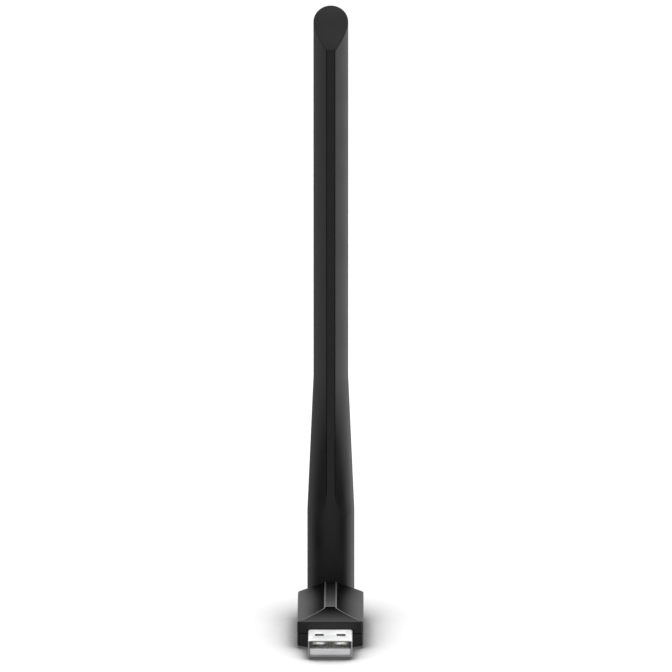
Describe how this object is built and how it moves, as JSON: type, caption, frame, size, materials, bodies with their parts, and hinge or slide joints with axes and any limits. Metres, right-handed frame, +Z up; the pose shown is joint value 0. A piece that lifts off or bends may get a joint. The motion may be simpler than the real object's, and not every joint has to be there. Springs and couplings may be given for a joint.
{
  "type": "usb wifi adapter",
  "caption": "USB wireless network adapter: faceted housing with a standard plug and a long paddle antenna that swivels and tilts.",
  "frame": {"origin": "centre of the plug's cross-section, level with the housing's front face", "axes": "+X right, +Y from the plug towards the antenna, +Z up along the upright antenna"},
  "size_m": [0.018, 0.0561, 0.1699],
  "materials": {
    "housing_plastic": "fine satin texture",
    "neck_plastic": "smooth moulded",
    "antenna_plastic": "fine matte texture",
    "plug_steel": "bright nickel plated",
    "pin_steel": "turned",
    "can_steel": "tin plated",
    "insulator_plastic": "smooth moulded",
    "contact_gold": "gold plated",
    "board_laminate": "solder mask",
    "aerial_laminate": "bare laminate",
    "copper": "etched copper",
    "chip_epoxy": "moulded epoxy",
    "capacitor_ceramic": "fired ceramic",
    "ferrite": "sintered ferrite",
    "cable_jacket": "smooth jacket",
    "ring_rubber": "greased rubber",
    "washer_nylon": "natural nylon"
  },
  "bodies": {
    "housing": {"upper_housing": "housing_plastic", "lower_housing": "housing_plastic", "usb_shell": "plug_steel", "usb_insulator": "insulator_plastic", "power_contact": "contact_gold", "data_minus_contact": "contact_gold", "data_plus_contact": "contact_gold", "ground_contact": "contact_gold", "circuit_board": "board_laminate", "wifi_chip": "chip_epoxy", "shield_can": "can_steel", "crystal": "can_steel", "power_inductor": "ferrite", "voltage_regulator": "chip_epoxy", "capacitors": "capacitor_ceramic", "resistors": "chip_epoxy", "coax_in_housing": "cable_jacket"},
    "neck": {"swivel_neck": "neck_plastic", "swivel_friction_ring": "ring_rubber", "coax_in_neck": "cable_jacket"},
    "antenna": {"antenna_front_cover": "antenna_plastic", "antenna_rear_cover": "antenna_plastic", "hinge_pin_left": "pin_steel", "hinge_pin_right": "pin_steel", "hinge_cap_left": "antenna_plastic", "hinge_cap_right": "antenna_plastic", "friction_washer_left": "washer_nylon", "friction_washer_right": "washer_nylon", "antenna_board": "aerial_laminate", "copper_traces": "copper", "coax_in_antenna": "cable_jacket"}
  },
  "joints": [
    {"name": "antenna_swivel", "type": "hinge", "parent": "housing", "child": "neck", "pos_m": [0, 0.03875, 0.0022], "axis": [0, 1, 0], "range_deg": [-90, 90]},
    {"name": "antenna_tilt", "type": "hinge", "parent": "neck", "child": "antenna", "pos_m": [0, 0.03875, 0.0022], "axis": [-1, 0, 0], "range_deg": [0, 90]}
  ]
}
